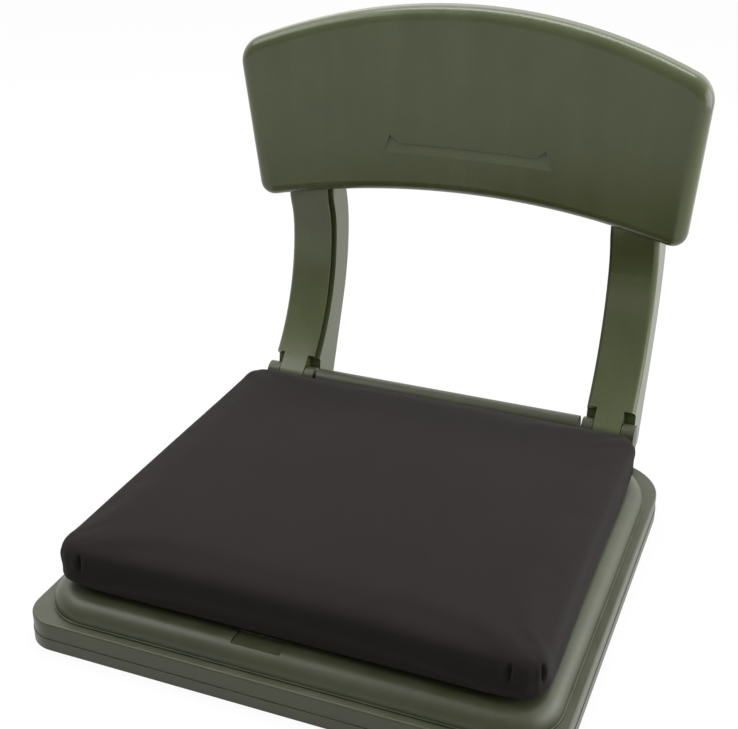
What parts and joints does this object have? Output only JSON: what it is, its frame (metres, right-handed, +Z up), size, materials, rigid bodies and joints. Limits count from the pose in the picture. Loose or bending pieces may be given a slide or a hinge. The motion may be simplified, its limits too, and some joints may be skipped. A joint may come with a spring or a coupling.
{
  "type": "fishing bucket seat",
  "caption": "Padded seat that fits over a square bucket as its lid, with a curved folding backrest on two moulded legs",
  "frame": {"origin": "middle of the skirt's open bottom, on the bucket's axis", "axes": "+X to the sitter's right hand as seen from the front of the seat, -Y to the front edge, +Y to the backrest, +Z up"},
  "size_m": [0.3426, 0.3848, 0.341],
  "materials": {
    "olive_shell": "satin moulded",
    "black_cap": "satin",
    "pin_steel": "plain turned",
    "screw_steel": "zinc plated",
    "black_fabric": "brushed woven",
    "grey_foam": "open cell foam",
    "hook_tape": "hooked",
    "loop_tape": "looped"
  },
  "bodies": {
    "seat": {"seat_base": "olive_shell", "left_pin_cap": "black_cap", "right_pin_cap": "black_cap", "left_hinge_pin": "pin_steel", "right_hinge_pin": "pin_steel", "cushion_cover": "black_fabric", "cushion_underside": "black_fabric", "cushion_foam": "grey_foam", "left_hook_tape": "hook_tape", "right_hook_tape": "hook_tape", "left_loop_tape": "loop_tape", "right_loop_tape": "loop_tape"},
    "backrest": {"back_panel": "olive_shell", "left_leg": "olive_shell", "right_leg": "olive_shell", "left_leg_screws": "screw_steel", "right_leg_screws": "screw_steel"}
  },
  "joints": [
    {"name": "backrest_fold", "type": "hinge", "parent": "seat", "child": "backrest", "pos_m": [0, 0.15, 0.05], "axis": [1, 0, 0], "range_deg": [0, 80]}
  ]
}
